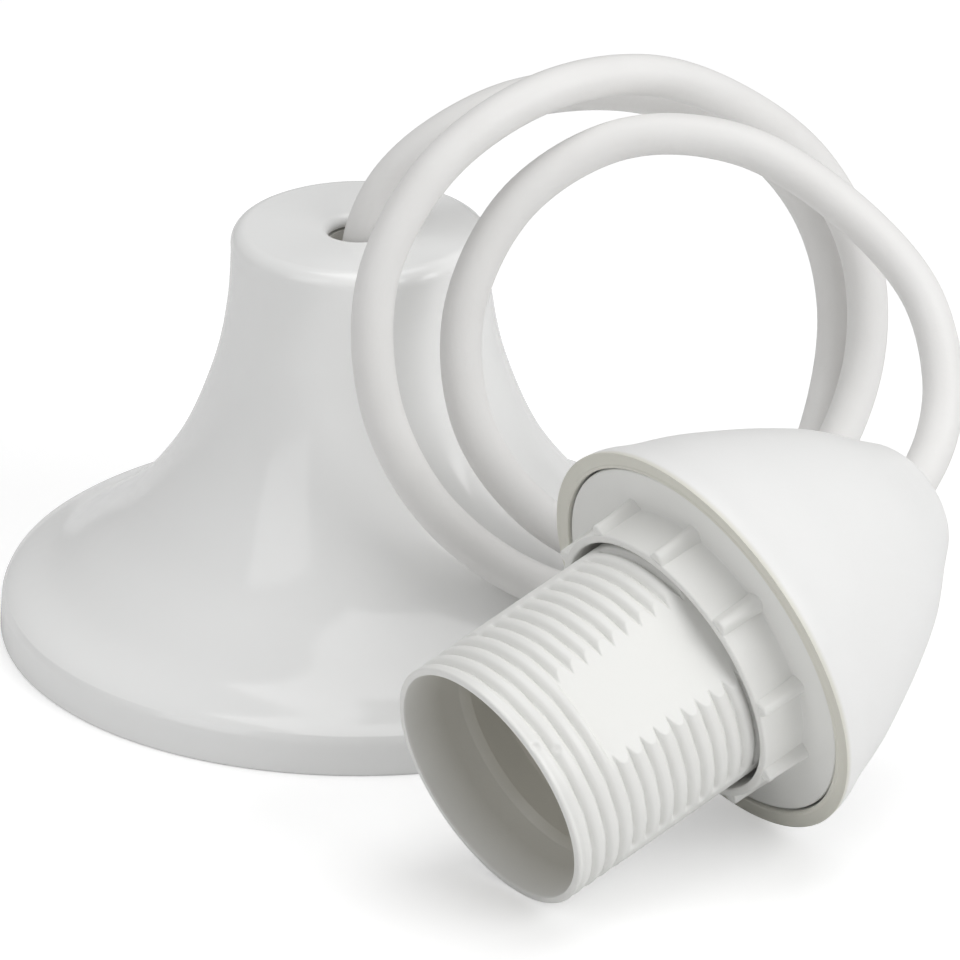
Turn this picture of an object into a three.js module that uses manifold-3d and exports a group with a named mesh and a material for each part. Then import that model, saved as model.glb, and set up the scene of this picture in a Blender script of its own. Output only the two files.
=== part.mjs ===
// A pendant cord set: a trumpet-shaped ceiling rose, a white flex lying in three loose loops,
// and an E27 lampholder with a bullet-shaped dome, a threaded barrel and a ring that holds a shade.
// Lengths are in millimetres and angles in degrees. Z is up and the object lies on the plane z = 0.

import * as THREE from 'three';
import { mergeVertices } from 'three/addons/utils/BufferGeometryUtils.js';
import Module from 'manifold-3d';

const wasm = await Module();
wasm.setup();

// Shared by all pieces
const gap = 0.3;
const wall = 2.1;
const screwRadius = 1.4;
const screwHeadHeight = 1.8;
const screwHeadRadius = 2.5;
const screwHoleRadius = screwRadius + gap;

// Flex
const cordRadius = 3.1;
const coreRadius = 1.1;
const cordHoleRadius = 4.7;
const sheathInRose = 19.6;
const sheathInDome = 20.2;

// Ceiling rose
const roseRadius = 55;
const roseHeight = 64.4;
const roseNeckRadius = 19.3;
const roseRimHeight = 6;
const roseTopRounding = 2.4;

// Lampholder, measured along its own axis from the mouth of the barrel. Its sizes follow from the
// thread for the lamp outwards, through the walls and clearances of the barrel, ring and dome.
const socketRadius = 13.4;
const socketThreadDepth = 1;
const socketThreadPitch = 3.62;
const socketEnd = 35;
const socketWall = 1.5;
const skirtClearance = 2;
const skirtDepth = 12;
const mouthFlare = 0.8;
const barrelWall = 1.75;
const barrelLength = 52;
const lipEdge = 0.5;
const lipLength = 0.8;
const threadDepth = 0.85;
const threadPitch = 2.58;
const threadStart = 0.1;
const threadEnd = 36;
const fullTurnsEnd = 9.8;
const flatWall = 0.8;
const plainStripAngle = 35;

const skirtRadius = socketRadius + socketWall + skirtClearance;
const mouthRadius = skirtRadius + mouthFlare;
const threadRadius = skirtRadius + barrelWall + threadDepth;

// Shade ring and dome
const ringClearance = 0.4;
const ringMouthClearance = 1;
const ringCollarWall = 1.3;
const ringCollarLength = 7.4;
const ringRibHeight = 1.4;
const ringRibWidth = 3.2;
const ringRibs = 10;
const ringFlangeWidth = 6.6;
const ringFlangeThickness = 2;
const ringRecess = 2.3;
const domeRimWall = 2.6;
const domeStart = 40.3;
const domeLength = 41.9;
const domeTipRounding = 7.55;

const ringMouthRadius = threadRadius + ringMouthClearance;
const ringCollarRadius = ringMouthRadius + ringCollarWall;
const ringRibRadius = ringCollarRadius + ringRibHeight;
const ringFlangeRadius = ringCollarRadius + ringFlangeWidth;
const ringEnd = domeStart + ringRecess;
const ringFlangeStart = ringEnd - ringFlangeThickness;
const ringStart = ringFlangeStart - ringCollarLength;
const domeMouthRadius = ringFlangeRadius + gap;
const domeRimRadius = domeMouthRadius + domeRimWall;

// Where the lampholder lies: the lip of its mouth and the dome's rim touch the table
const holderX = 19.9;
const holderY = -95.3;
const holderHeading = 38.5;
const holderRoll = 50;

const degrees = Math.PI / 180;
const holderTilt = Math.atan((domeRimRadius - threadRadius) / (domeStart - lipEdge));
const holderZ = threadRadius * Math.cos(holderTilt) - lipEdge * Math.sin(holderTilt) + 0.05;
const domeTip = domeStart + domeLength;

// Cord grip, the same in the rose and in the dome
const gripHalfWidth = 10.5;
const gripDepth = 5.8;
const gripSplit = 0.8;
const gripHeight = 6;
const gripBoreRadius = cordRadius + gap;
const gripScrewPlace = 7.2;

// Inside the rose, heights above its base
const roseUnderside = roseHeight - wall;
const hookCollarThickness = 3;
const hookGripTop = roseUnderside - gap - hookCollarThickness - gap;
const hookArmHalfWidth = 5;
const hookArmFront = -7;
const hookArmBack = -11;
const hookCentre = 14;
const hookInnerRadius = 6;
const hookOuterRadius = 10;
const sheathEndInRose = roseHeight - sheathInRose;
const blockTop = sheathEndInRose - 8;
const blockHeight = 12;
const blockHalfWidth = 11;
const blockDepth = 12;
const tubeSpacing = 5.5;
const tubeOuterRadius = 2.7;
const tubeInnerRadius = 1.5;

// Inside the dome, distances along the lampholder's axis
const sheathEndInDome = domeTip - sheathInDome;
const domeGripStart = sheathEndInDome + 1;
const carrierStart = socketEnd + gap;
const carrierThickness = 5;
const towerEnd = 49;
const contactThickness = 0.5;
const contactPlace = socketRadius - 4.8;
const contactHalfWidth = 4;
const contactScrewPlace = contactPlace + 2.8;
const towerReach = contactScrewPlace + 2.6;

const materials = {
  gloss: { color: 0xf4f4f2, roughness: 0.18, metalness: 0 },
  satin: { color: 0xeeeeea, roughness: 0.42, metalness: 0 },
  barrel: { color: 0xe6e6e0, roughness: 0.38, metalness: 0 },
  flex: { color: 0xececea, roughness: 0.5, metalness: 0 },
  insulator: { color: 0xe2e0d6, roughness: 0.45, metalness: 0 },
  brass: { color: 0xc9a24e, roughness: 0.3, metalness: 1 },
  steel: { color: 0xb9bcc0, roughness: 0.3, metalness: 1 },
  brown: { color: 0x6b3f22, roughness: 0.5, metalness: 0 },
  blue: { color: 0x2f62b0, roughness: 0.5, metalness: 0 },
};

// Shapes

// The geometry as a closed body that can be joined or cut, turned right side out if need be
function solidFrom(geometry) {
  const bare = geometry.clone();
  bare.deleteAttribute('normal');
  bare.deleteAttribute('uv');
  const merged = mergeVertices(bare, 1e-5);
  const index = merged.index.array;
  const place = merged.attributes.position;
  const corner = [new THREE.Vector3(), new THREE.Vector3(), new THREE.Vector3()];
  const faces = [];
  let volume = 0;
  for (let i = 0; i < index.length; i += 3) {
    const [a, b, c] = [index[i], index[i + 1], index[i + 2]];
    if (a === b || b === c || c === a) continue;
    faces.push([a, b, c]);
    [a, b, c].forEach((vertex, k) => corner[k].fromBufferAttribute(place, vertex));
    volume += corner[0].dot(corner[1].cross(corner[2]));
  }
  if (volume < 0) faces.forEach((face) => face.reverse());
  return new wasm.Manifold(new wasm.Mesh({
    numProp: 3,
    vertProperties: Float32Array.from(place.array),
    triVerts: Uint32Array.from(faces.flat()),
  }));
}

function geometryFrom(solid) {
  const mesh = solid.getMesh();
  const geometry = new THREE.BufferGeometry();
  const places = Float32Array.from(mesh.vertProperties);
  geometry.setAttribute('position', new THREE.BufferAttribute(places, 3));
  geometry.setIndex(Array.from(mesh.triVerts));
  geometry.computeVertexNormals();
  return geometry;
}

// A closed outline of [radius, height] pairs turned about the Z axis
function turned(outline, segments = 48) {
  const points = [...outline, outline[0]].map(([r, z]) => new THREE.Vector2(r, z));
  return solidFrom(new THREE.LatheGeometry(points, segments).rotateX(Math.PI / 2));
}

function tube(inner, outer, from, to, segments = 48) {
  return turned([[inner, from], [outer, from], [outer, to], [inner, to]], segments);
}

function rod(radius, from, to, segments = 10) {
  return tube(0, radius, from, to, segments);
}

function block(x0, x1, y0, y1, z0, z1) {
  const box = new THREE.BoxGeometry(x1 - x0, y1 - y0, z1 - z0);
  return solidFrom(box.translate((x0 + x1) / 2, (y0 + y1) / 2, (z0 + z1) / 2));
}

// A flat outline of [x, z] pairs given a thickness from y0 to y1
function plate(outline, y0, y1) {
  const shape = new THREE.Shape(outline.map(([x, z]) => new THREE.Vector2(x, z)));
  const body = new THREE.ExtrudeGeometry(shape, { depth: y1 - y0, bevelEnabled: false });
  return solidFrom(body.rotateX(Math.PI / 2).translate(0, y1, 0));
}

function arc(centreR, centreZ, radius, from, to, steps) {
  return Array.from({ length: steps + 1 }, (_, i) => {
    const angle = (from + (to - from) * i / steps) * degrees;
    return [centreR + radius * Math.cos(angle), centreZ + radius * Math.sin(angle)];
  });
}

function smooth(points, steps) {
  const curve = new THREE.SplineCurve(points.map(([r, z]) => new THREE.Vector2(r, z)));
  return curve.getPoints(steps).map((point) => [point.x, point.y]);
}

// The same outline moved inwards, square to itself, by a wall's thickness
function inset(outline, distance) {
  return outline.map(([r, z], i) => {
    const [r0, z0] = outline[Math.max(i - 1, 0)];
    const [r1, z1] = outline[Math.min(i + 1, outline.length - 1)];
    const length = Math.hypot(r1 - r0, z1 - z0);
    return [Math.max(r - distance * (z1 - z0) / length, 0), z + distance * (r1 - r0) / length];
  });
}

// A screw without ends: rows of points climb round the axis, and each turn meets the next
function screwThread(crest, depth, pitch, from, to, columns) {
  const shares = [1, 0, 0];
  const perTurn = shares.length;
  const rows = Math.ceil((to - from) / pitch + 2) * perTurn;
  const places = [];
  for (let column = 0; column < columns; column++) {
    const angle = 2 * Math.PI * column / columns;
    for (let row = 0; row <= rows; row++) {
      const radius = crest - depth * shares[row % perTurn];
      const height = from + pitch * (row / perTurn + column / columns - 1.5);
      places.push(radius * Math.cos(angle), radius * Math.sin(angle), height);
    }
  }
  const at = (column, row) => column * (rows + 1) + row;
  const faces = [];
  for (let column = 0; column < columns; column++) {
    const last = column === columns - 1;
    const next = last ? 0 : column + 1;
    const shift = last ? perTurn : 0;
    for (let row = 0; row + shift < rows; row++) {
      faces.push(at(column, row), at(next, row + shift), at(next, row + shift + 1));
      faces.push(at(column, row), at(next, row + shift + 1), at(column, row + 1));
    }
  }
  const across = Array.from({ length: columns }, (_, column) => column);
  const up = Array.from({ length: perTurn }, (_, row) => row);
  const bottom = [...across.map((column) => at(column, 0)),
    ...up.map((row) => at(0, perTurn - row))];
  const top = [...across.map((column) => at(column, rows)),
    ...up.map((row) => at(columns - 1, rows - 1 - row))];
  const centre = places.length / 3;
  places.push(0, 0, from - 1.5 * pitch, 0, 0, from + pitch * rows / perTurn);
  bottom.forEach((vertex, i) => faces.push(centre, bottom[(i + 1) % bottom.length], vertex));
  top.forEach((vertex, i) => faces.push(centre + 1, vertex, top[(i + 1) % top.length]));
  const geometry = new THREE.BufferGeometry();
  geometry.setAttribute('position', new THREE.Float32BufferAttribute(places, 3));
  geometry.setIndex(faces);
  return solidFrom(geometry).intersect(rod(crest + 1, from, to, columns));
}

// A round wire or hose through a list of points
function hose(points, radius, steps, sides = 10) {
  const section = new THREE.Shape(Array.from({ length: sides }, (_, i) => {
    const angle = 2 * Math.PI * i / sides;
    return new THREE.Vector2(radius * Math.cos(angle), radius * Math.sin(angle));
  }));
  const path = new THREE.CatmullRomCurve3(points.map((point) => new THREE.Vector3(...point)));
  return solidFrom(new THREE.ExtrudeGeometry(section, { steps, extrudePath: path }));
}

// A turning of the whole solid so that its Z axis points along Y
const alongY = (solid) => solid.rotate([-90, 0, 0]);

// Ceiling rose

// The outline from the rim to the neck: shares of the flare and of the height above the rim
function roseFlare() {
  const shares = [
    [0.926, 0.02], [0.778, 0.06], [0.63, 0.125], [0.462, 0.21], [0.324, 0.31],
    [0.218, 0.41], [0.13, 0.53], [0.055, 0.67], [0.014, 0.81], [0, 0.93],
  ];
  const flare = roseRadius - roseNeckRadius;
  const rise = roseHeight - roseRimHeight;
  return shares.map(([out, up]) => [roseNeckRadius + flare * out, roseRimHeight + rise * up]);
}

function ceilingRose() {
  const rimEdge = [
    [roseRadius - 0.7, roseRimHeight - 1.2],
    [roseRadius - 1.4, roseRimHeight],
  ];
  const side = [[roseRadius, 0], ...rimEdge, ...smooth(roseFlare(), 13)];
  const topCentre = [roseNeckRadius - roseTopRounding, roseHeight - roseTopRounding];
  const shoulder = arc(...topCentre, roseTopRounding, 0, 90, 3);
  const inside = inset(smooth(roseFlare(), 6), wall).reverse();
  const rim = [
    [roseRadius - wall - 1, roseRimHeight - wall + 0.6],
    [roseRadius - wall, 0],
  ];
  const top = [
    [cordHoleRadius + 0.9, roseHeight - 0.2],
    [cordHoleRadius, roseHeight - 1],
    [cordHoleRadius, roseUnderside],
    [roseNeckRadius - wall, roseUnderside],
  ];
  return turned([...side, ...shoulder, ...top, ...inside, ...rim], 48);
}

// Cord grip: a fixed half and a saddle, drawn together across the cord by two screws.
// The cord runs along Z through both. Each half is made with its foot at height 0.

function gripBore(from, to) {
  return rod(gripBoreRadius, from, to, 16);
}

function gripScrewHoles(height) {
  const hole = alongY(rod(screwHoleRadius, hookArmBack - 1, gripDepth + 2))
    .translate([0, 0, height / 2]);
  return hole.translate([gripScrewPlace, 0, 0]).add(hole.translate([-gripScrewPlace, 0, 0]));
}

function gripHalf(y0, y1, height) {
  return block(-gripHalfWidth, gripHalfWidth, y0, y1, 0, height)
    .subtract(gripBore(-1, height + 1))
    .subtract(gripScrewHoles(height));
}

function gripSaddle() {
  return gripHalf(gripSplit, gripDepth, gripHeight);
}

// A round-headed screw along Z, its head's underside at height 0 and its shank below
function screw(length, radius = screwRadius, headRadius = screwHeadRadius) {
  const head = arc(0, 0, headRadius, 0, 90, 2)
    .map(([r, z]) => [r, z * screwHeadHeight / headRadius]);
  const slot = block(-headRadius, headRadius, -0.35, 0.35, screwHeadHeight * 0.5, screwHeadHeight * 2);
  return turned([[0, -length], [radius, -length], [radius, 0], ...head.slice(0, -1),
    [0, screwHeadHeight]], 10).subtract(slot);
}

// A screw that enters along -Y with its head on the plane y
function crossScrew(x, y, z, length, radius, headRadius) {
  return alongY(screw(length, radius, headRadius)).translate([x, y + gap / 3, z]);
}

// Inside the rose

function suspensionHook() {
  const collar = tube(cordHoleRadius, roseNeckRadius - wall - 2, hookGripTop + gap,
    roseUnderside - gap, 32);
  const neck = block(-gripHalfWidth, gripHalfWidth, hookArmBack, -cordHoleRadius,
    hookGripTop - 1, hookGripTop + 2 * gap);
  const grip = gripHalf(hookArmBack, -gripSplit, gripHeight)
    .translate([0, 0, hookGripTop - gripHeight]);
  const arm = block(-hookArmHalfWidth, hookArmHalfWidth, hookArmBack, hookArmFront,
    hookCentre + hookInnerRadius + 1, hookGripTop - gripHeight + 1);
  const bend = arc(0, hookCentre, hookOuterRadius, 70, 330, 14);
  const inner = arc(0, hookCentre, hookInnerRadius, 330, 70, 12);
  const hook = plate([...bend, ...inner], hookArmBack, hookArmFront);
  const hole = alongY(rod(screwHoleRadius, hookArmBack - 1, hookArmFront + 1))
    .translate([0, 0, blockTop - blockHeight / 2]);
  return collar.add(neck).add(grip).add(arm).add(hook).subtract(hole);
}

function terminalBlock() {
  const y0 = hookArmFront + gap;
  const y1 = y0 + blockDepth;
  const bottom = blockTop - blockHeight;
  const middle = (bottom + blockTop) / 2;
  const tubePlace = y0 + blockDepth / 2;
  let body = block(-blockHalfWidth, blockHalfWidth, y0, y1, bottom, blockTop);
  body = body.subtract(alongY(rod(screwHoleRadius, y0 - 1, y1 + 1)).translate([0, 0, middle]));
  for (const x of [-tubeSpacing, tubeSpacing]) {
    body = body.subtract(rod(tubeOuterRadius + gap, bottom + 0.8, blockTop - 0.8, 12)
      .translate([x, tubePlace, 0]));
    body = body.subtract(rod(tubeInnerRadius + gap, bottom - 1, blockTop + 1)
      .translate([x, tubePlace, 0]));
    for (const z of terminalScrewHeights()) {
      body = body.subtract(alongY(rod(screwHoleRadius, 0, blockDepth)).translate([x, tubePlace, z]));
    }
  }
  return body;
}

function terminalScrewHeights() {
  return [blockTop - blockHeight * 0.72, blockTop - blockHeight * 0.28];
}

function terminalTube(x) {
  const tubePlace = hookArmFront + gap + blockDepth / 2;
  let body = tube(tubeInnerRadius, tubeOuterRadius,
    blockTop - blockHeight + 0.8 + gap, blockTop - 0.8 - gap, 12);
  for (const z of terminalScrewHeights()) {
    body = body.subtract(alongY(rod(screwHoleRadius, 0, blockDepth)).translate([0, 0, z]));
  }
  return body.translate([x, tubePlace, 0]);
}

// A headless screw that presses on the core inside its tube
function terminalScrew(x, z) {
  const from = hookArmFront + gap + blockDepth / 2 + coreRadius + gap;
  const to = hookArmFront + gap + blockDepth - 0.6;
  const slot = block(-screwRadius, screwRadius, -0.3, 0.3, to - 0.7, to + 1);
  return alongY(rod(screwRadius, from, to).subtract(slot)).translate([x, 0, z]);
}

function roseCore(side) {
  const x = side * tubeSpacing;
  const y = hookArmFront + gap + blockDepth / 2;
  const start = sheathEndInRose - gap;
  return hose([
    [side * 1.5, 0, start],
    [side * 1.6, 0, start - 1.6],
    [side * 3.8, y / 2, start - 4.4],
    [x, y, blockTop - 0.5],
    [x, y, blockTop - 3],
    [x, y, blockTop - blockHeight * 0.6],
  ], coreRadius, 11, 6);
}

// Lampholder, standing on its mouth with its axis along Z until it is laid on the table

function barrelOutside() {
  const thread = screwThread(threadRadius, threadDepth, threadPitch, threadStart, threadEnd, 32);
  const lip = turned([
    [0, 0], [threadRadius - 0.3, 0], [threadRadius, lipEdge], [threadRadius, lipLength], [0, lipLength],
  ], 32);
  const shank = rod(threadRadius, threadEnd - 0.2, barrelLength, 32);
  return thread.add(lip).add(shank);
}

// Two flats and two plain strips interrupt the thread behind its first full turns
function barrelBreaks(body) {
  const half = threadRadius + 1;
  const flatDistance = skirtRadius + flatWall;
  const slab = block(flatDistance, half, -half, half, fullTurnsEnd, threadEnd);
  const reach = Math.tan(plainStripAngle / 2 * degrees) * threadRadius;
  const middle = (skirtRadius + threadRadius) / 2;
  const strips = block(middle, half, -reach, reach, fullTurnsEnd, threadEnd)
    .add(block(-half, -middle, -reach, reach, fullTurnsEnd, threadEnd))
    .intersect(rod(threadRadius, fullTurnsEnd, threadEnd, 32))
    .rotate([0, 0, 90]);
  return body.add(strips).subtract(slab).subtract(slab.rotate([0, 0, 180]));
}

function threadedBarrel() {
  const socket = screwThread(socketRadius, socketThreadDepth, socketThreadPitch,
    skirtDepth - 1, socketEnd + 1, 20);
  const skirt = turned([
    [0, -1], [mouthRadius + 0.1, -1], [mouthRadius, 0.3], [skirtRadius, 8],
    [skirtRadius, skirtDepth], [0, skirtDepth],
  ], 32);
  const pocket = tube(socketRadius + socketWall, skirtRadius, skirtDepth + 1.6, barrelLength + 1, 32);
  const rear = rod(skirtRadius, socketEnd, barrelLength + 1, 32);
  return barrelBreaks(barrelOutside())
    .subtract(skirt).subtract(socket).subtract(pocket).subtract(rear);
}

// One rib: narrower towards its top, with a sloping front just behind the collar's edge
function ringRib() {
  const root = ringCollarRadius - 0.8;
  const front = ringStart + 0.5;
  const end = ringFlangeStart + 0.3;
  const half = ringRibWidth / 2;
  const side = plate([
    [root, front], [ringCollarRadius, front], [ringRibRadius, front + 0.9],
    [ringRibRadius, end], [root, end],
  ], -half, half);
  const section = new THREE.Shape([
    [root, -half], [ringCollarRadius, -half], [ringRibRadius, -half * 0.5],
    [ringRibRadius, half * 0.5], [ringCollarRadius, half], [root, half],
  ].map(([x, y]) => new THREE.Vector2(x, y)));
  const bar = new THREE.ExtrudeGeometry(section, { depth: end - front, bevelEnabled: false });
  return side.intersect(solidFrom(bar.translate(0, 0, front)));
}

function shadeRing() {
  const bore = threadRadius + ringClearance;
  let body = turned([
    [ringMouthRadius, ringStart], [ringCollarRadius - 0.5, ringStart],
    [ringCollarRadius - 0.1, ringStart + 0.4], [ringCollarRadius, ringFlangeStart],
    [ringFlangeRadius - 0.4, ringFlangeStart], [ringFlangeRadius, ringFlangeStart + 0.4],
    [ringFlangeRadius, ringEnd], [bore, ringEnd], [bore, ringFlangeStart - 1.5],
    [ringMouthRadius - 0.4, ringFlangeStart - 2.4],
  ], 48);
  for (let i = 0; i < ringRibs; i++) {
    body = body.add(ringRib().rotate([0, 0, 360 * i / ringRibs]));
  }
  return body;
}

// The dome's outline from its rim to its tip
function domeSide() {
  const shares = [
    [1, 0], [0.985, 0.06], [0.937, 0.147], [0.87, 0.29], [0.78, 0.436],
    [0.68, 0.58], [0.556, 0.73], [0.398, 0.868],
  ];
  return smooth(shares.map(([out, up]) => [domeRimRadius * out, domeStart + domeLength * up]), 9);
}

// The rounding runs on from the side without a corner and ends in the small flat round the hole
function domeTipArc() {
  return arc(cordHoleRadius - 0.3, domeTip - domeTipRounding, domeTipRounding, 42, 90, 4);
}

function domeBlank() {
  return turned([[0, domeStart], ...domeSide(), ...domeTipArc(), [0, domeTip]], 48);
}

function lampholderDome() {
  const side = domeSide();
  const inner = inset(side.filter((_, i) => i > 1 && i % 2 === 1 || i === side.length - 1), wall);
  inner.unshift([domeMouthRadius, domeStart - 1], [domeMouthRadius, ringEnd + gap]);
  const hollow = turned([[0, domeStart - 1], ...inner, [0, domeTip - wall - 4]], 32)
    .add(turned([[0, domeTip - 9], [10, domeTip - 9], [7.5, domeTip - wall], [0, domeTip - wall]], 20));
  const boss = tube(threadRadius + gap, threadRadius + gap + wall, ringEnd + gap,
    sheathEndInDome, 32);
  const bridge = block(-domeRimRadius, domeRimRadius, hookArmBack, -gripSplit,
    domeGripStart, domeGripStart + gripHeight);
  const cordHole = turned([
    [0, domeTip - 8], [cordHoleRadius, domeTip - 8], [cordHoleRadius, domeTip - 0.9],
    [cordHoleRadius + 1.2, domeTip + 0.1], [0, domeTip + 0.1],
  ], 20);
  return domeBlank().subtract(hollow)
    .add(boss.add(bridge).intersect(domeBlank()))
    .subtract(gripBore(domeGripStart - 1, domeGripStart + gripHeight + 1))
    .subtract(gripScrewHoles(gripHeight).translate([0, 0, domeGripStart]))
    .subtract(cordHole);
}

// The insulating base that closes the socket and carries its two contacts
function contactCarrier() {
  let body = rod(skirtRadius - gap, carrierStart, carrierStart + carrierThickness, 24);
  for (const side of [-1, 1]) {
    const tower = block(contactPlace + 0.1, towerReach, -4.6, 4.6, carrierStart + 1, towerEnd);
    const hole = rod(1.2 + gap, towerEnd - 6, towerEnd + 1).translate([contactScrewPlace, 0, 0]);
    const slotHalf = contactThickness / 2 + gap;
    const slot = block(contactPlace - slotHalf, contactPlace + slotHalf,
      -contactHalfWidth - gap, contactHalfWidth + gap, carrierStart - 1, towerEnd + 1);
    const part = tower.subtract(hole);
    body = body.add(side > 0 ? part : part.rotate([0, 0, 180]));
    body = body.subtract(side > 0 ? slot : slot.rotate([0, 0, 180]));
  }
  return body;
}

// A bent strip of even thickness, its middle line given as [x, z] points
function bentStrip(line) {
  const half = contactThickness / 2;
  const offset = (sign) => line.map(([x, z], i) => {
    const directions = [];
    if (i > 0) directions.push([x - line[i - 1][0], z - line[i - 1][1]]);
    if (i < line.length - 1) directions.push([line[i + 1][0] - x, line[i + 1][1] - z]);
    const units = directions.map(([a, b]) => [a / Math.hypot(a, b), b / Math.hypot(a, b)]);
    const sum = units.reduce(([a, b], [c, d]) => [a + c, b + d], [0, 0]);
    const length = Math.hypot(...sum);
    const reach = half * units.length / length;
    return [x - sign * reach * sum[1] / length, z + sign * reach * sum[0] / length];
  });
  return plate([...offset(1), ...offset(-1).reverse()], -contactHalfWidth, contactHalfWidth);
}

function contact(tip) {
  const foot = towerEnd + gap + contactThickness / 2;
  const strip = bentStrip([...tip, [contactPlace, foot], [contactScrewPlace + 2.4, foot]]);
  return strip.subtract(rod(1.2 + gap, foot - 1, foot + 1).translate([contactScrewPlace, 0, 0]));
}

function centreContact() {
  return contact([
    [-2.5, carrierStart - 3.6], [1.5, carrierStart - 4], [contactPlace, carrierStart - 0.7],
  ]);
}

function sideContact() {
  return contact([
    [socketRadius - 2, carrierStart - 8], [socketRadius - 3.2, carrierStart - 3.5],
    [contactPlace, carrierStart - 0.7],
  ]).rotate([0, 0, 180]);
}

function contactScrew(side) {
  const height = towerEnd + gap + contactThickness + gap / 2;
  return screw(6, 1.2, 2.1).translate([side * contactScrewPlace, 0, height]);
}

function holderCore(side) {
  const foot = towerEnd + 2 * gap + contactThickness;
  const start = sheathEndInDome - gap;
  return hose([
    [side * 1.5, 0, start],
    [side * 1.6, 0.1, start - 1.4],
    [side * 4.8, 1.6, start - 3.6],
    [side * 9.4, 3.4, start - 5.2],
    [side * contactScrewPlace, 3.5, start - 7.4],
    [side * contactScrewPlace, 3.5, foot],
  ], coreRadius, 11, 6);
}

// Flex

// The lampholder's own place on the table
function holderMatrix() {
  return new THREE.Matrix4().makeTranslation(holderX, holderY, holderZ)
    .multiply(new THREE.Matrix4().makeRotationZ(holderHeading * degrees))
    .multiply(new THREE.Matrix4().makeRotationY(Math.PI / 2 - holderTilt));
}

// The route starts in the rose's grip, leaves through its top, makes three loose loops that lean
// on the bell and lie on its skirt behind the lampholder, and enters the dome at its tip
function cordRoute() {
  const fromRose = [
    [0, 0, -sheathInRose], [0, 0, -12.6], [-0.2, 0, -8], [1, 0.1, -0.4], [4.6, 0.6, 7],
    [11.6, 1.5, 13.6],
  ].map(([x, y, z]) => [x, y, roseHeight + z]);
  const loops = [
    [23.5, 4.5, 83], [40.5, 6.5, 83.5], [56.5, 11, 75.5], [67.5, 15, 61.5], [72, 15.5, 44],
    [69.5, 9.5, 27.5], [62.5, -0.5, 15.5], [51.5, -15.5, 11.5], [37.5, -27, 15], [23, -32, 22.5],
    [10.5, -36, 36], [3.5, -37, 53], [3.5, -34, 71], [12, -28, 85.5], [26, -19, 93],
    [41.5, -9, 92.5], [55.5, 0, 84.5], [68, 6.5, 71.5], [75.5, 9, 54.5], [75.5, 7, 37.5],
    [68.5, -1, 24], [55.5, -13, 18.5], [39.5, -20.5, 20], [26, -26, 30], [17, -28.5, 45.5],
    [16, -26.5, 63], [24, -22, 78], [39, -18, 86], [56, -17.5, 85], [71, -21, 77],
  ];
  const place = holderMatrix();
  const intoDome = [
    [-18.6, 15.3, 19.5], [-9, 7.5, 14.7], [-3.9, 3, 8], [-0.8, 0.6, 0.3],
    [0.1, -0.2, -6.6], [0, 0, -13.2], [0, 0, -sheathInDome],
  ].map(([x, y, z]) => new THREE.Vector3(x, y, domeTip + z).applyMatrix4(place).toArray());
  return [...fromRose, ...loops, ...intoDome];
}

function flexCord() {
  return hose(cordRoute(), cordRadius, 72, 8);
}

// Assembly

function mesh(name, solid, finish) {
  const body = new THREE.Mesh(geometryFrom(solid), new THREE.MeshStandardMaterial(materials[finish]));
  body.name = name;
  return body;
}

function roseGroup() {
  const group = new THREE.Group();
  const gripMiddle = hookGripTop - gripHeight / 2;
  const blockFace = hookArmFront + gap + blockDepth;
  const middle = blockTop - blockHeight / 2;
  const [low, high] = terminalScrewHeights();
  const screwLength = gripDepth - hookArmBack - 1;
  const blockScrewLength = blockFace - hookArmBack - 0.8;
  group.add(
    mesh('ceiling_rose', ceilingRose(), 'gloss'),
    mesh('suspension_hook', suspensionHook(), 'insulator'),
    mesh('hook_cord_saddle', gripSaddle().translate([0, 0, hookGripTop - gripHeight]), 'insulator'),
    mesh('hook_saddle_screw_left',
      crossScrew(-gripScrewPlace, gripDepth, gripMiddle, screwLength), 'steel'),
    mesh('hook_saddle_screw_right',
      crossScrew(gripScrewPlace, gripDepth, gripMiddle, screwLength), 'steel'),
    mesh('terminal_block', terminalBlock(), 'insulator'),
    mesh('terminal_block_screw', crossScrew(0, blockFace, middle, blockScrewLength), 'steel'),
    mesh('terminal_tube_live', terminalTube(-tubeSpacing), 'brass'),
    mesh('terminal_tube_neutral', terminalTube(tubeSpacing), 'brass'),
    mesh('terminal_screw_live_cord', terminalScrew(-tubeSpacing, high), 'steel'),
    mesh('terminal_screw_live_supply', terminalScrew(-tubeSpacing, low), 'steel'),
    mesh('terminal_screw_neutral_cord', terminalScrew(tubeSpacing, high), 'steel'),
    mesh('terminal_screw_neutral_supply', terminalScrew(tubeSpacing, low), 'steel'),
    mesh('rose_core_live', roseCore(-1), 'brown'),
    mesh('rose_core_neutral', roseCore(1), 'blue'),
  );
  return group;
}

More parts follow.
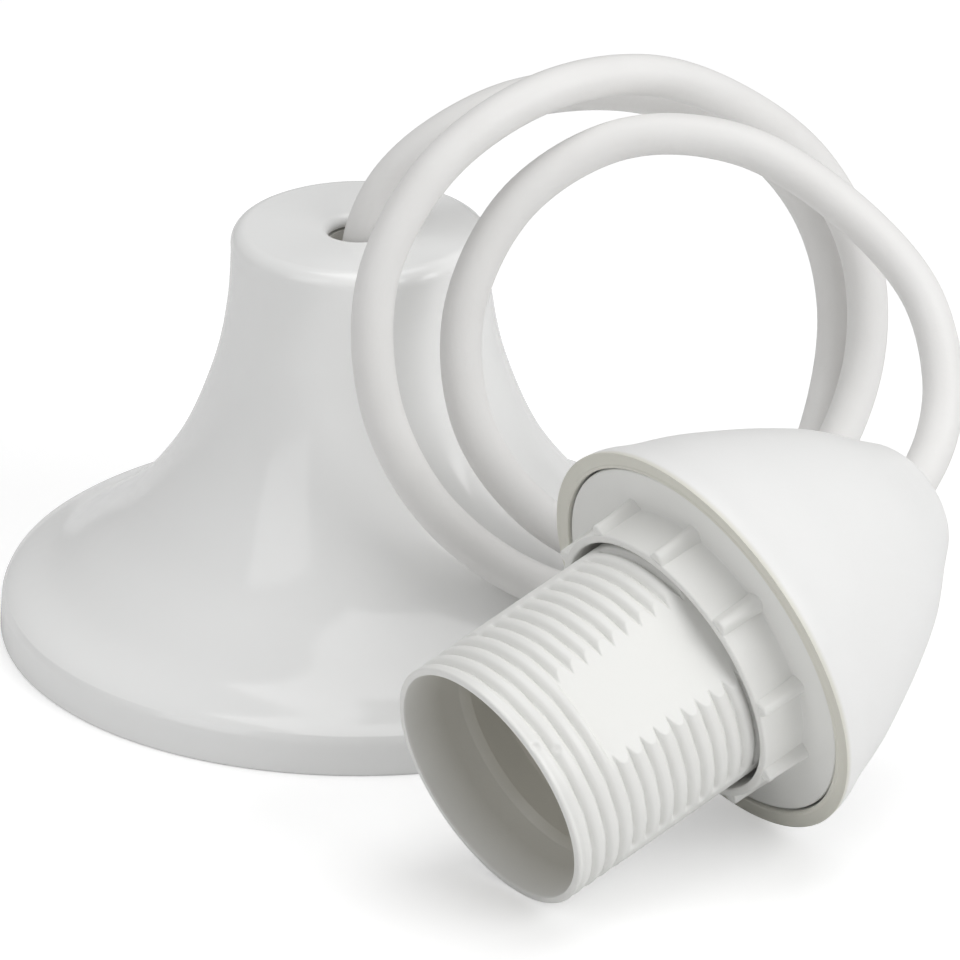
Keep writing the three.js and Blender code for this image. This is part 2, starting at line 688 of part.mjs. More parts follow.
function holderGroup() {
  const group = new THREE.Group();
  const gripMiddle = domeGripStart + gripHeight / 2;
  const screwLength = gripDepth - hookArmBack - 1;
  const barrel = mesh('threaded_barrel', threadedBarrel(), 'barrel');
  barrel.rotation.z = holderRoll * degrees;
  const ring = mesh('shade_ring', shadeRing(), 'barrel');
  ring.rotation.z = holderRoll * degrees;
  group.add(
    barrel,
    ring,
    mesh('lampholder_dome', lampholderDome(), 'satin'),
    mesh('dome_cord_saddle', gripSaddle().translate([0, 0, domeGripStart]), 'insulator'),
    mesh('dome_saddle_screw_left',
      crossScrew(-gripScrewPlace, gripDepth, gripMiddle, screwLength), 'steel'),
    mesh('dome_saddle_screw_right',
      crossScrew(gripScrewPlace, gripDepth, gripMiddle, screwLength), 'steel'),
    mesh('contact_carrier', contactCarrier(), 'insulator'),
    mesh('centre_contact', centreContact(), 'brass'),
    mesh('side_contact', sideContact(), 'brass'),
    mesh('contact_screw_live', contactScrew(1), 'steel'),
    mesh('contact_screw_neutral', contactScrew(-1), 'steel'),
    mesh('holder_core_live', holderCore(1), 'brown'),
    mesh('holder_core_neutral', holderCore(-1), 'blue'),
  );
  group.applyMatrix4(holderMatrix());
  return group;
}

// The origin is below the middle of all that is rigid, on the plane that the object lies on
function middleOf(group) {
  const middle = new THREE.Box3().expandByObject(group, true).getCenter(new THREE.Vector3());
  return new THREE.Vector3(middle.x, middle.y, 0);
}

const rigid = new THREE.Group();
rigid.add(roseGroup(), holderGroup());
const pendantCordSet = new THREE.Group();
pendantCordSet.position.copy(middleOf(rigid)).negate();
pendantCordSet.add(rigid, mesh('flex_cord', flexCord(), 'flex'));

export default pendantCordSet;
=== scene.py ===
"""A pendant cord set lying on a table: a trumpet-shaped ceiling rose, three loose loops of white flex
and an E27 lampholder with a bullet-shaped dome, a threaded barrel and a ring for the shade."""

import bpy
import numpy as np
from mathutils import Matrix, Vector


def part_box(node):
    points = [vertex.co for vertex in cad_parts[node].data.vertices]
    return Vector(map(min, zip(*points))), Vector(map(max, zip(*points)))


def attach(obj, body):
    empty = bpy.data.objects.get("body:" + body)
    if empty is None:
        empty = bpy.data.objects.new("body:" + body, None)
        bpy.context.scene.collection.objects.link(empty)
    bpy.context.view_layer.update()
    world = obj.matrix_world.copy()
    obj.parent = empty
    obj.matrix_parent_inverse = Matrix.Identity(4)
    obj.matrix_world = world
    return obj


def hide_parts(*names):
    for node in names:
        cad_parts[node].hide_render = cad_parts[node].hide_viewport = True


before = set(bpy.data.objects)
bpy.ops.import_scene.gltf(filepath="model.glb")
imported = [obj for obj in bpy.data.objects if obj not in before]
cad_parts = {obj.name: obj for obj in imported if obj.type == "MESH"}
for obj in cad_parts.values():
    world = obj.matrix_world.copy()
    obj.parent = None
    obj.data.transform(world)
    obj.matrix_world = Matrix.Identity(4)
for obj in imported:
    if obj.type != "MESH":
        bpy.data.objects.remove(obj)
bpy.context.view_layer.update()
scene = bpy.context.scene
scene.view_settings.view_transform = "Standard"

# ---------------------------------------------------------------- Camera
# The photograph was taken with a long lens from the front, about 25 degrees above the table.
# The rose's own axis is the line from which the camera, the flex and the lampholder are placed.

low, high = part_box("ceiling_rose")
rose_axis = np.array([(low.x + high.x) / 2, (low.y + high.y) / 2, 0.0])

camera = bpy.data.objects.new("camera", bpy.data.cameras.new("camera"))
scene.collection.objects.link(camera)
camera.data.sensor_width = 36.0
camera.data.lens = 337.5
camera.data.clip_end = 20.0
camera.location = rose_axis + (0.0285, -1.2363, 0.5894)
camera.rotation_euler = np.radians((65.377, 0.0, 0.489))
scene.camera = camera

# ---------------------------------------------------------------- Place of the lampholder
# It lies on the lip of its mouth and on the rim of its dome. Its own axis runs from the mouth
# to the dome's tip, and distances along that axis are counted from the mouth.

MM = 0.001
dome_start, dome_length, dome_mouth, dome_rim_wall = 40.3, 41.9, 28.7, 2.6
dome_rim = dome_mouth + dome_rim_wall
dome_tip = dome_start + dome_length
thread_radius, lip_edge = 19.5, 0.5
tilt = np.arctan((dome_rim - thread_radius) / (dome_start - lip_edge))
heading = np.radians(38.5)
axis_along = np.array([np.cos(tilt) * np.cos(heading), np.cos(tilt) * np.sin(heading), np.sin(tilt)])
axis_side = np.array([-np.sin(heading), np.cos(heading), 0.0])
axis_down = np.cross(axis_side, axis_along)
mouth_height = thread_radius * np.cos(tilt) - lip_edge * np.sin(tilt) + 0.05
mouth_centre = rose_axis / MM + (19.9, -95.3, mouth_height)


def in_holder(points):
    """Points given in the lampholder's own x, y and distance along its axis, moved to where it lies
    on the table."""
    points = np.asarray(points, float)
    across = points[..., 0:1] * axis_down + points[..., 1:2] * axis_side
    return mouth_centre + across + points[..., 2:3] * axis_along


# ---------------------------------------------------------------- Flex
# A round white flex of 6.2 mm with a soft plastic sheath. It leaves the hole in the rose, makes three
# loose loops that lean on the bell and lie on its skirt, and goes into the tip of the dome.

flex_radius, rose_height = 3.1, 64.4
from_rose = np.array([
    (0, 0, -19.6), (0, 0, -12.6), (-0.2, 0, -8), (1, 0.1, -0.4), (4.6, 0.6, 7), (11.6, 1.5, 13.6),
]) + (0, 0, rose_height)
loops = np.array([
    (23.5, 4.5, 83), (40.5, 6.5, 83.5), (56.5, 11, 75.5), (67.5, 15, 61.5), (72, 15.5, 44),
    (69.5, 9.5, 27.5), (62.5, -0.5, 15.5), (51.5, -15.5, 11.5), (37.5, -27, 15), (23, -32, 22.5),
    (10.5, -36, 36), (3.5, -37, 53), (3.5, -34, 71), (12, -28, 85.5), (26, -19, 93),
    (41.5, -9, 92.5), (55.5, 0, 84.5), (68, 6.5, 71.5), (75.5, 9, 54.5), (75.5, 7, 37.5),
    (68.5, -1, 24), (55.5, -13, 18.5), (39.5, -20.5, 20), (26, -26, 30), (17, -28.5, 45.5),
    (16, -26.5, 63), (24, -22, 78), (39, -18, 86), (56, -17.5, 85), (71, -21, 77),
])
into_dome = np.array([
    (-18.6, 15.3, 19.5), (-9, 7.5, 14.7), (-3.9, 3, 8), (-0.8, 0.6, 0.3),
    (0.1, -0.2, -6.6), (0, 0, -13.2), (0, 0, -20.2),
]) + (0, 0, dome_tip)
flex_route = np.vstack([from_rose + rose_axis / MM, loops + rose_axis / MM, in_holder(into_dome)])


def through(points, per_span):
    """A smooth curve through the points: on each span a cubic whose end slopes come from the neighbouring
    points, weighted by the square roots of the distances between them, so that it doesn't overshoot."""
    ends = np.vstack([2 * points[0] - points[1], points, 2 * points[-1] - points[-2]])
    p0, p1, p2, p3 = ends[:-3], ends[1:-2], ends[2:-1], ends[3:]
    d0, d1, d2 = (np.sqrt(np.linalg.norm(b - a, axis=1))[:, None] for a, b in ((p0, p1), (p1, p2), (p2, p3)))
    slope1 = ((p1 - p0) / d0 - (p2 - p0) / (d0 + d1) + (p2 - p1) / d1) * d1
    slope2 = ((p2 - p1) / d1 - (p3 - p1) / (d1 + d2) + (p3 - p2) / d2) * d1
    t = np.linspace(0, 1, per_span, endpoint=False)[None, :, None]
    p1, p2, slope1, slope2 = (a[:, None, :] for a in (p1, p2, slope1, slope2))
    spans = (p1 + slope1 * t + (3 * (p2 - p1) - 2 * slope1 - slope2) * t**2
             + (2 * (p1 - p2) + slope1 + slope2) * t**3)
    return np.vstack([spans.reshape(-1, 3), points[-1:]])


flex_line = through(flex_route, 12) * MM
curve = bpy.data.curves.new("flex", "CURVE")
curve.dimensions = "3D"
spline = curve.splines.new("POLY")
spline.points.add(len(flex_line) - 1)
spline.points.foreach_set("co", np.hstack([flex_line, np.ones((len(flex_line), 1))]).ravel())
spline.use_smooth = True
curve.bevel_depth = flex_radius * MM
curve.bevel_resolution = 7
curve.use_fill_caps = True
flex = bpy.data.objects.new("flex", curve)
scene.collection.objects.link(flex)


class Wire:
    """A value that varies over a surface. Sums and products of wires add Math nodes."""

    def __init__(self, paint, socket):
        self.paint, self.socket = paint, socket

    def math(self, operation, *values):
        return self.paint.node("ShaderNodeMath", {"operation": operation}, dict(enumerate(values)))

    def __add__(self, other):
        return self.math("ADD", self, other)

    def __mul__(self, other):
        return self.math("MULTIPLY", self, other)

    __radd__, __rmul__ = __add__, __mul__


class Paint:
    """A finish: a material with one surface shader, and the nodes that vary it."""

    def __init__(self, name, **look):
        self.material = bpy.data.materials.new(name)
        self.material.use_nodes = True
        self.tree = self.material.node_tree
        self.shader = self.tree.nodes["Principled BSDF"]
        self.place = self.node("ShaderNodeTexCoord", {}, {}, "Object")
        for socket, value in look.items():
            self.set(socket.replace("_", " "), value)

    def node(self, kind, settings, inputs, output=0):
        node = self.tree.nodes.new(kind)
        for name, value in settings.items():
            setattr(node, name, value)
        for socket, value in inputs.items():
            self.join(node.inputs[socket], value)
        return Wire(self, node.outputs[output])

    def join(self, socket, value):
        if isinstance(value, Wire):
            self.tree.links.new(value.socket, socket)
        else:
            socket.default_value = value

    def set(self, socket, value):
        self.join(self.shader.inputs[socket], value)

    def cloud(self, size, detail=2.0):
        """Soft blotches about size metres across, from 0 to 1."""
        return self.node("ShaderNodeTexNoise", {}, {
            "Vector": self.place, "Scale": 1 / size, "Detail": detail, "Roughness": 0.5})

    def between(self, low, high, amount):
        """A colour from low to high as the amount goes from 0 to 1."""
        low, high = (colour if isinstance(colour, Wire) else (*colour, 1) for colour in (low, high))
        return self.node("ShaderNodeMix", {"data_type": "RGBA"}, {0: amount, 6: low, 7: high}, 2)

    def steps(self, value, start, end):
        """0 below start, 1 above end and a smooth rise between them."""
        return self.node("ShaderNodeMapRange", {"interpolation_type": "SMOOTHSTEP"}, {
            "Value": value, "From Min": start, "From Max": end})

    def bump(self, height, depth):
        """Tilts the surface as if it were raised by depth metres where height is 1."""
        self.set("Normal", self.node("ShaderNodeBump", {}, {
            "Height": height, "Distance": depth, "Strength": 1.0}))


sheath = Paint("flex_sheath", Roughness=0.46, IOR=1.45)
sheath_blotch = sheath.cloud(0.012)
sheath_grain = sheath.cloud(0.0009, 3)
sheath.set("Base Color", sheath.between((0.80, 0.79, 0.775), (0.87, 0.865, 0.855), sheath_blotch))
sheath.set("Roughness", 0.40 + 0.12 * sheath_blotch + 0.06 * sheath_grain)
sheath.bump(0.7 * sheath_grain + 0.3 * sheath_blotch, 0.00005)
curve.materials.append(sheath.material)

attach(flex, "cord_set")
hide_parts("flex_cord")

# ---------------------------------------------------------------- Ceiling rose
# The bell-shaped cover that hides the connections at the ceiling, moulded in one piece from glossy
# white plastic with an even wall. The flex hangs out of the hole in its flat top.


def smooth(points, steps):
    """A curve through the points, each span a cubic whose end slopes are half the step between the
    neighbouring points; the same curve that the solid's outline follows."""
    points = np.asarray(points, float)
    where = np.linspace(0, len(points) - 1, steps + 1)
    span = np.minimum(where.astype(int), len(points) - 2)
    t = (where - span)[:, None]
    p0, p1 = points[np.maximum(span - 1, 0)], points[span]
    p2, p3 = points[span + 1], points[np.minimum(span + 2, len(points) - 1)]
    v1, v2 = (p2 - p0) / 2, (p3 - p1) / 2
    return (2 * p1 - 2 * p2 + v1 + v2) * t**3 + (-3 * p1 + 3 * p2 - 2 * v1 - v2) * t**2 + v1 * t + p1


def arc(centre, radius, start, end, steps):
    """Part of a circle, from the start angle to the end angle in degrees."""
    angle = np.radians(np.linspace(start, end, steps + 1))
    return np.column_stack([centre[0] + radius * np.cos(angle), centre[1] + radius * np.sin(angle)])


def inset(outline, distance):
    """The outline moved inwards by a distance square to its own direction."""
    along = np.gradient(outline, axis=0)
    along /= np.linalg.norm(along, axis=1)[:, None]
    moved = outline + distance * np.column_stack([-along[:, 1], along[:, 0]])
    return np.column_stack([np.maximum(moved[:, 0], 0), moved[:, 1]])


def eased(corners, radius, steps=4):
    """A closed outline with each corner of over 12 degrees rounded: a parabola that leaves one side a
    radius before the corner, or 0.45 of the side where that is less, and joins the next as far behind."""
    corners = np.asarray(corners, float)
    before, after = np.roll(corners, 1, 0) - corners, np.roll(corners, -1, 0) - corners
    long_before, long_after = np.linalg.norm(before, axis=1), np.linalg.norm(after, axis=1)
    turn = np.arccos(np.clip(-(before * after).sum(1) / (long_before * long_after), -1, 1))
    outline = []
    corner_rows = zip(corners, before, after, long_before, long_after, turn)
    for corner, to_before, to_after, a, b, angle in corner_rows:
        if angle < np.radians(12):
            outline.append(corner)
            continue
        start = corner + to_before * min(radius / a, 0.45)
        end = corner + to_after * min(radius / b, 0.45)
        outline += [(1 - t)**2 * start + 2 * t * (1 - t) * corner + t**2 * end
                    for t in np.linspace(0, 1, steps)]
    return np.array(outline)


def piece(name, grid, finish, body, nodes=(), sharp=38.0, capped=False):
    """A closed surface from a grid of points. Its columns join up with themselves, and so do its rows,
    or else two flat faces close it at the first and the last row."""
    columns, rows = grid.shape[:2]
    across, up = np.meshgrid(np.arange(columns), np.arange(rows - capped), indexing="ij")
    next_across, next_up = (across + 1) % columns, (up + 1) % rows
    quads = np.stack([across * rows + up, next_across * rows + up,
                      next_across * rows + next_up, across * rows + next_up], axis=-1).reshape(-1, 4)
    first_row = np.arange(columns) * rows
    caps = [first_row[::-1].tolist(), (first_row + rows - 1).tolist()] if capped else []
    mesh = bpy.data.meshes.new(name)
    mesh.from_pydata((grid * MM).reshape(-1, 3), [], quads.tolist() + caps)
    mesh.shade_smooth()
    mesh.set_sharp_from_angle(angle=np.radians(sharp))
    mesh.materials.append(finish.material)
    made = bpy.data.objects.new(name, mesh)
    scene.collection.objects.link(made)
    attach(made, body)
    if nodes:
        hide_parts(*nodes)
    return made


def turned(outline, columns=192):
    """The outline of radius and height carried round the axis: x = r cos a, y = r sin a, z = height."""
    angle = np.linspace(0, 2 * np.pi, columns, endpoint=False)[:, None]
    radius, height = outline[:, 0][None], outline[:, 1][None]
    height = np.broadcast_to(height, (columns, len(outline)))
    return np.stack([radius * np.cos(angle), radius * np.sin(angle), height], -1)


wall, cord_hole = 2.1, 4.7
rose_radius, rose_neck, rose_rim, top_rounding = 55.0, 19.3, 6.0, 2.4
flare_shares = np.array([
    (0.926, 0.02), (0.778, 0.06), (0.63, 0.125), (0.462, 0.21), (0.324, 0.31),
    (0.218, 0.41), (0.13, 0.53), (0.055, 0.67), (0.014, 0.81), (0, 0.93),
])
flare_corners = (rose_neck, rose_rim) + flare_shares * (rose_radius - rose_neck, rose_height - rose_rim)
flare = smooth(np.vstack([[(rose_radius - 0.9, rose_rim + 0.1)], flare_corners]), 80)
underside = rose_height - wall
rose_outline = eased(np.vstack([
    [(rose_radius, 0), (rose_radius - 0.35, rose_rim - 1.0)],
    flare,
    arc((rose_neck - top_rounding, rose_height - top_rounding), top_rounding, 0, 90, 8),
    [(5.6, rose_height - 0.2), (cord_hole, rose_height - 1), (cord_hole, underside),
     (rose_neck - wall, underside)],
    inset(flare[8:], wall)[::-1],
    [(rose_radius - wall - 1, rose_rim - wall + 0.6), (rose_radius - wall, 0)],
]), 0.5)

rose_gloss = Paint("rose_gloss", Roughness=0.12, IOR=1.5)
rose_flow = rose_gloss.cloud(0.03, 3)
rose_ripple = rose_gloss.cloud(0.006)
rose_gloss.set("Base Color", rose_gloss.between((0.90, 0.905, 0.90), (0.93, 0.93, 0.92), rose_flow))
rose_gloss.set("Roughness", 0.10 + 0.06 * rose_flow)
rose_gloss.bump(rose_ripple, 0.00004)

piece("rose_cover", turned(rose_outline) + rose_axis / MM, rose_gloss,
      "cord_set", ["ceiling_rose"])

# ---------------------------------------------------------------- Barrel of the lampholder
# One moulding in satin white plastic. Outside it carries a coarse thread for the shade ring,
# cut away by two flats; inside it has a wide skirt and, behind a ledge, the thread for the lamp.

thread_depth, thread_pitch, thread_start, thread_end = 0.85, 2.58, 0.1, 36.0
full_turns_end, flat_wall, half_strip = 9.8, 0.8, np.radians(17.5)
skirt_radius, mouth_radius, skirt_depth = 16.9, 18.3, 9.0
ledge_radius, ledge_depth = 16.0, 14.8
socket_radius, socket_depth, socket_pitch, socket_end = 13.4, 1.0, 3.62, 35.0
barrel_roll = np.radians(50)


def rise(value, start, end):
    """0 before start, 1 after end and a smooth step between them."""
    t = np.clip((value - start) / (end - start), 0, 1)
    return t * t * (3 - 2 * t)


def from_sides(angle, middle):
    """How far an angle is from the nearer of two opposite directions."""
    return np.abs(np.angle(np.exp(2j * (angle - middle)))) / 2


def barrel_outside(angle, along):
    """The barrel's outer radius: R - d (1 - |sin pi n|)^1.5 at n turns of the thread. Behind the first
    turns two opposite sides are cut flat, and two strips between them are left plain. The parting line
    of the mould leaves two small nicks in the first crests."""
    turn = (along - thread_start) / thread_pitch - angle / (2 * np.pi) - 0.5
    groove = (1 - np.abs(np.sin(np.pi * turn))) ** 1.5
    groove = groove * rise(along, 0.5, 1.2) * (1 - rise(along, thread_end - 1.0, thread_end))
    beyond = rise(along, full_turns_end - 0.5, full_turns_end + 0.3)
    strip = beyond * (1 - rise(from_sides(angle, np.pi / 2), half_strip - 0.06, half_strip))
    radius = thread_radius - thread_depth * groove * (1 - strip)
    flat = (skirt_radius + flat_wall) / np.cos(np.minimum(from_sides(angle, 0), 1.0))
    cut = np.where(along < thread_end, np.minimum(radius, flat), radius)
    for nick_angle, nick_along in ((np.pi - 0.04, 1.0), (np.pi + 0.06, 3.5)):
        away = np.abs(np.angle(np.exp(1j * (angle - nick_angle)))) * thread_radius
        radius = radius - 0.35 * np.exp(-(away / 0.5)**2 - ((along - nick_along) / 0.5)**2)
    return radius + (cut - radius) * beyond


def socket_inside(angle, along):
    """The radius of the lamp's thread: a rounded wave that winds one pitch a turn, faded at its ends."""
    turn = (along - ledge_depth) / socket_pitch - angle / (2 * np.pi)
    present = rise(along, ledge_depth, ledge_depth + 1.5) * (1 - rise(along, socket_end - 2, socket_end))
    return socket_radius - socket_depth * (0.5 + 0.5 * np.cos(2 * np.pi * turn)) * present


# Columns are closer together across the flats, where the ridges end in points
fine = np.arange(-28, 28, 0.5)
coarse = np.linspace(28, 152, 100, endpoint=False)
barrel_angle = np.radians(np.concatenate([fine, coarse, fine + 180, coarse + 180]))[:, None]
outer_along = np.concatenate([np.linspace(0.3, 36.2, 240), np.linspace(37, 52, 8)])[None]
socket_along = np.linspace(35, ledge_depth + 0.3, 62)[None]


def ring_of(radius, along):
    """One row of points all the way round at each pair of radius and distance."""
    return spread(np.array([radius], float)), spread(np.array([along], float))


def spread(row):
    return np.broadcast_to(row, (len(barrel_angle), row.shape[1]))


sections = [
    ring_of([mouth_radius + 0.15, thread_radius - 0.4, thread_radius - 0.12], [0.05, 0.0, 0.1]),
    (barrel_outside(barrel_angle, outer_along), spread(outer_along)),
    ring_of([thread_radius - 0.1, skirt_radius + 0.1, skirt_radius, skirt_radius], [52.2, 52.2, 52.1, 35.2]),
    ring_of([skirt_radius, skirt_radius - 0.1, socket_radius + 1.6, socket_radius + 1.5],
            [16.8, 16.4, 16.4, 16.6]),
    ring_of([socket_radius + 1.5, socket_radius + 1.4, socket_radius + 0.1], [34.8, 35, 35]),
    (socket_inside(barrel_angle, socket_along), spread(socket_along)),
    ring_of([socket_radius + 0.1, ledge_radius - 0.1, ledge_radius, ledge_radius, ledge_radius + 0.1],
            [ledge_depth, ledge_depth, ledge_depth - 0.1, skirt_depth + 1.5, skirt_depth + 1.35]),
    ring_of([skirt_radius - 0.1, skirt_radius, skirt_radius + 0.3, mouth_radius - 0.05],
            [skirt_depth + 0.1, skirt_depth - 0.1, 6, 0.4]),
]
radius = np.hstack([s[0] for s in sections])
along = np.hstack([s[1] for s in sections])
turned_angle = barrel_angle + barrel_roll
barrel_grid = in_holder(np.stack([radius * np.cos(turned_angle), radius * np.sin(turned_angle), along], -1))

holder_satin = Paint("holder_satin", Roughness=0.34, IOR=1.5)
satin_flow = holder_satin.cloud(0.02, 3)
satin_grain = holder_satin.cloud(0.0007, 2)
holder_white = holder_satin.between((0.81, 0.81, 0.785), (0.855, 0.855, 0.835), satin_flow)
# Painted shade: a darker, warmer colour is mixed in where the barrel's inside lies in shade, weighted by the
# attribute set on the barrel below
painted_shade_inside = holder_satin.node("ShaderNodeAttribute", {"attribute_name": "painted_shade_inside"}, {}, "Fac")
holder_satin.set("Base Color", holder_satin.between(holder_white, (0.52, 0.505, 0.45), painted_shade_inside))
holder_satin.set("Roughness", 0.30 + 0.08 * satin_flow + 0.06 * satin_grain)
holder_satin.bump(satin_grain, 0.00002)

barrel = piece("barrel", barrel_grid, holder_satin, "cord_set", ["threaded_barrel"], sharp=50)
# Painted shade: the inside is coloured darker and warmer than the outside, standing in for the shade that
# falls inside the barrel; the tint was chosen to match the photograph's tones
painted_shade_rows = np.hstack([np.full(s[0].shape[1], 0.0 if i < 3 else 1.0) for i, s in enumerate(sections)])
painted_shade_rows[-4:] = 0.8, 0.75, 0.75, 0.3
barrel_painted_shade = barrel.data.attributes.new("painted_shade_inside", "FLOAT", "POINT")
barrel_painted_shade.data.foreach_set("value", np.tile(painted_shade_rows, len(barrel_angle)))

# ---------------------------------------------------------------- Shade ring
# The ring that screws up the barrel and clamps the shade against the dome. Ribs round its collar
# give the fingers a hold, and they run back to a thin flange.

ring_start, ring_flange_start, ring_end = 33.2, 40.6, 42.6
ring_bore, ring_mouth, ring_collar, ring_flange = 19.9, 20.5, 21.8, 28.4
ring_ribs, rib_height, rib_half_width = 10, 1.4, 1.8
ring_outline = eased([
    (ring_mouth, ring_start), (ring_collar, ring_start), (ring_collar, ring_flange_start),
    (ring_flange, ring_flange_start), (ring_flange, ring_end), (ring_bore, ring_end),
    (ring_bore, ring_flange_start - 1.5), (ring_mouth - 0.3, ring_flange_start - 2.4),
], 0.35)
piece("shade_ring_body", in_holder(turned(ring_outline)), holder_satin,
      "ring", ["shade_ring"])


def rib_grid(turn):
    """One rib: a triangle across it with a rounded top, carried from its blunt front at the collar's
    edge to the flange. The arrays give its height and width as shares at each station."""
    section = eased([(-1, -1), (1, -1), (0.35, 1), (-0.35, 1)], 0.55, 6)
    stations = ring_start + np.array([0.2, 0.3, 0.5, 1.5, 3.0, 5.0, 6.5, 7.5])
    high = np.array([0.85, 0.95, 1.0, 1.0, 1.03, 1.08, 1.15, 1.25])
    wide = np.array([0.85, 0.93, 0.97, 1.0, 1.0, 1.0, 1.05, 1.15])
    base = ring_collar - 0.7
    side = section[:, 0][:, None] * rib_half_width * wide[None]
    out = base + (section[:, 1][:, None] * 0.5 + 0.5) * (ring_collar + rib_height * high - base)[None]
    cos, sin = np.cos(turn), np.sin(turn)
    return np.stack([out * cos - side * sin, out * sin + side * cos,
                     np.broadcast_to(stations, out.shape)], -1)


for i in range(ring_ribs):
    grid = rib_grid(barrel_roll + 2 * np.pi * i / ring_ribs)
    piece(f"shade_ring_rib_{i + 1:02d}", in_holder(grid), holder_satin, "ring", capped=True)

# ---------------------------------------------------------------- Dome of the lampholder
# The bullet-shaped cover over the lampholder's connections, moulded in white plastic with a fine
# satin face. Its rim overhangs the shade ring, and the flex comes in through the hole at its tip.

dome_shares = np.array([
    (1, 0), (0.985, 0.06), (0.937, 0.147), (0.87, 0.29), (0.78, 0.436),
    (0.68, 0.58), (0.556, 0.73), (0.398, 0.868),
])
dome_side = smooth((0, dome_start) + dome_shares * (dome_rim, dome_length), 50)
dome_outline = eased(np.vstack([
    dome_side,
    arc((4.4, dome_tip - 7.55), 7.55, 42, 90, 10),
    [(cord_hole, dome_tip - 1.0), (cord_hole, dome_tip - wall)],
    inset(dome_side, wall)[:6:-1],
    [(dome_mouth, ring_end + 0.3), (dome_mouth, dome_start), (dome_mouth + 0.5, dome_start),
     (dome_mouth + 0.6, dome_start + 0.15), (dome_rim - 0.6, dome_start + 0.15)],
]), 0.3)
dome_satin = Paint("dome_satin", Roughness=0.36, IOR=1.5)
dome_flow = dome_satin.cloud(0.025, 3)
dome_grain = dome_satin.cloud(0.0008, 2)
# Painted shade: the rim is coloured beige, darker than the rest of the dome, standing in for the shade on
# its face, and it turns white within about a millimetre
along_axis = dome_satin.node("ShaderNodeVectorMath", {"operation": "DOT_PRODUCT"}, {
    0: dome_satin.place, 1: tuple(axis_along)}, "Value")
rim_plane = float(axis_along @ mouth_centre + dome_start) * MM
off_rim = dome_satin.steps(along_axis, rim_plane + 0.1 * MM, rim_plane + 1.2 * MM)
dome_white = dome_satin.between((0.85, 0.85, 0.84), (0.885, 0.885, 0.88), dome_flow)
# Painted shade: beige on the rim face, the dome's white beyond it
dome_satin.set("Base Color", dome_satin.between((0.72, 0.71, 0.64), dome_white, off_rim))
dome_satin.set("Roughness", 0.36 + 0.08 * dome_flow + 0.06 * dome_grain)
dome_satin.bump(dome_grain, 0.00003)
piece("dome_shell", in_holder(turned(dome_outline)), dome_satin,
      "cord_set", ["lampholder_dome"])

# ---------------------------------------------------------------- Pieces inside the rose and the dome
# Plain insulating mouldings, brass contacts and tubes, plated screws and the two insulated cores.
# They are seen only from underneath or through the lampholder's mouth.

insulator = Paint("insulator_white", Roughness=0.45, IOR=1.5)
insulator_flow = insulator.cloud(0.008, 3)
insulator.set("Base Color", insulator.between((0.68, 0.67, 0.63), (0.76, 0.75, 0.71), insulator_flow))
insulator.set("Roughness", 0.38 + 0.12 * insulator_flow)
insulator.bump(insulator.cloud(0.0006), 0.00003)

brass = Paint("drawn_brass", Metallic=1.0, Roughness=0.3)
brass_tarnish = brass.cloud(0.004, 4)
brass.set("Base Color", brass.between((0.58, 0.40, 0.16), (0.80, 0.62, 0.30), brass_tarnish))
brass.set("Roughness", 0.22 + 0.25 * brass_tarnish)

steel = Paint("plated_steel", Metallic=1.0, Roughness=0.3)
steel_wear = steel.cloud(0.002, 4)
steel.set("Base Color", steel.between((0.50, 0.51, 0.53), (0.68, 0.69, 0.70), steel_wear))
steel.set("Roughness", 0.24 + 0.2 * steel_wear)

core_finishes = {}
for colour_name, dark, light in (("brown", (0.13, 0.05, 0.02), (0.19, 0.08, 0.035)),
                                 ("blue", (0.02, 0.09, 0.34), (0.035, 0.13, 0.44))):
    core = Paint(f"core_{colour_name}", Roughness=0.42)
    core_blotch = core.cloud(0.003)
    core.set("Base Color", core.between(dark, light, core_blotch))
    core.set("Roughness", 0.36 + 0.14 * core_blotch)
    core_finishes[colour_name] = core

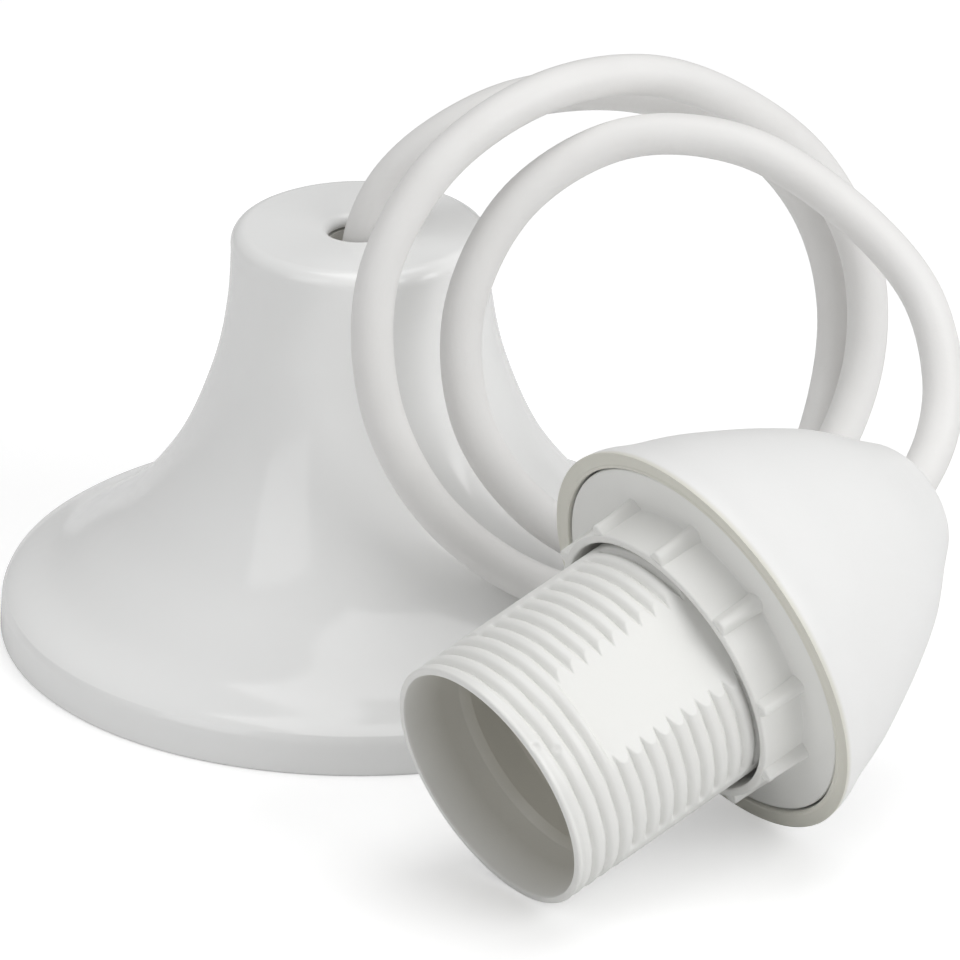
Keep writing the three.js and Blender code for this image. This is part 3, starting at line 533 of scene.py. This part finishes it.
node_finishes = {
    insulator: ["suspension_hook", "hook_cord_saddle", "terminal_block", "dome_cord_saddle",
                "contact_carrier"],
    brass: ["terminal_tube_live", "terminal_tube_neutral", "centre_contact", "side_contact"],
    steel: [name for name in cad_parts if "screw" in name],
    core_finishes["brown"]: ["rose_core_live", "holder_core_live"],
    core_finishes["blue"]: ["rose_core_neutral", "holder_core_neutral"],
}
for finish, names in node_finishes.items():
    for name in names:
        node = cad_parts[name]
        node.data.materials.clear()
        node.data.materials.append(finish.material)

# ---------------------------------------------------------------- Table and light
# A plain white table that runs out of view, a large soft lamp in front at the right, one overhead
# and a weak window at the left, with white walls all round.

table_mesh = bpy.data.meshes.new("table")
table_mesh.from_pydata([(-3, -3, 0), (3, -3, 0), (3, 3, 0), (-3, 3, 0)], [], [(0, 1, 2, 3)])
table = bpy.data.objects.new("table", table_mesh)
scene.collection.objects.link(table)
table_white = Paint("table_white", Base_Color=(0.86, 0.86, 0.86, 1), Roughness=0.9)
seen = table_white.node("ShaderNodeLightPath", {}, {}, "Is Camera Ray")
table_white.set("Emission Color", (1, 1, 1, 1))
table_white.set("Emission Strength", seen * 0.35)
table_mesh.materials.append(table_white.material)

light_of_walls, white_to_camera = 0.36, 1.0
world = bpy.data.worlds.new("studio")
scene.world = world
world.use_nodes = True
tree = world.node_tree
paths = tree.nodes.new("ShaderNodeLightPath")
background = tree.nodes["Background"]
background.inputs["Color"].default_value = (1, 1, 1, 1)
strength = tree.nodes.new("ShaderNodeMapRange")
strength.inputs["To Min"].default_value = light_of_walls
strength.inputs["To Max"].default_value = white_to_camera
tree.links.new(paths.outputs["Is Camera Ray"], strength.inputs["Value"])
tree.links.new(strength.outputs[0], background.inputs["Strength"])

for name, place, aim, size, power in (
    ("front_right", (0.85, -0.55, 0.60), (0.0, 0.0, 0.03), (0.7, 0.7), 5.2),
    ("overhead", (0.10, 0.05, 1.0), (0.0, 0.0, 0.0), (0.8, 0.8), 3.6),
    ("window_left", (-0.8, -0.65, 0.65), (0.0, 0.0, 0.04), (0.6, 0.8), 1.9),
):
    lamp = bpy.data.lights.new(name, "AREA")
    lamp.shape = "RECTANGLE"
    lamp.size, lamp.size_y = size
    lamp.energy = power
    holder = bpy.data.objects.new(name, lamp)
    scene.collection.objects.link(holder)
    away = np.array(place) - np.array(aim)
    holder.location = place
    lean = np.arccos(away[2] / np.linalg.norm(away))
    holder.rotation_euler = (lean, 0, np.arctan2(away[1], away[0]) + np.pi / 2)
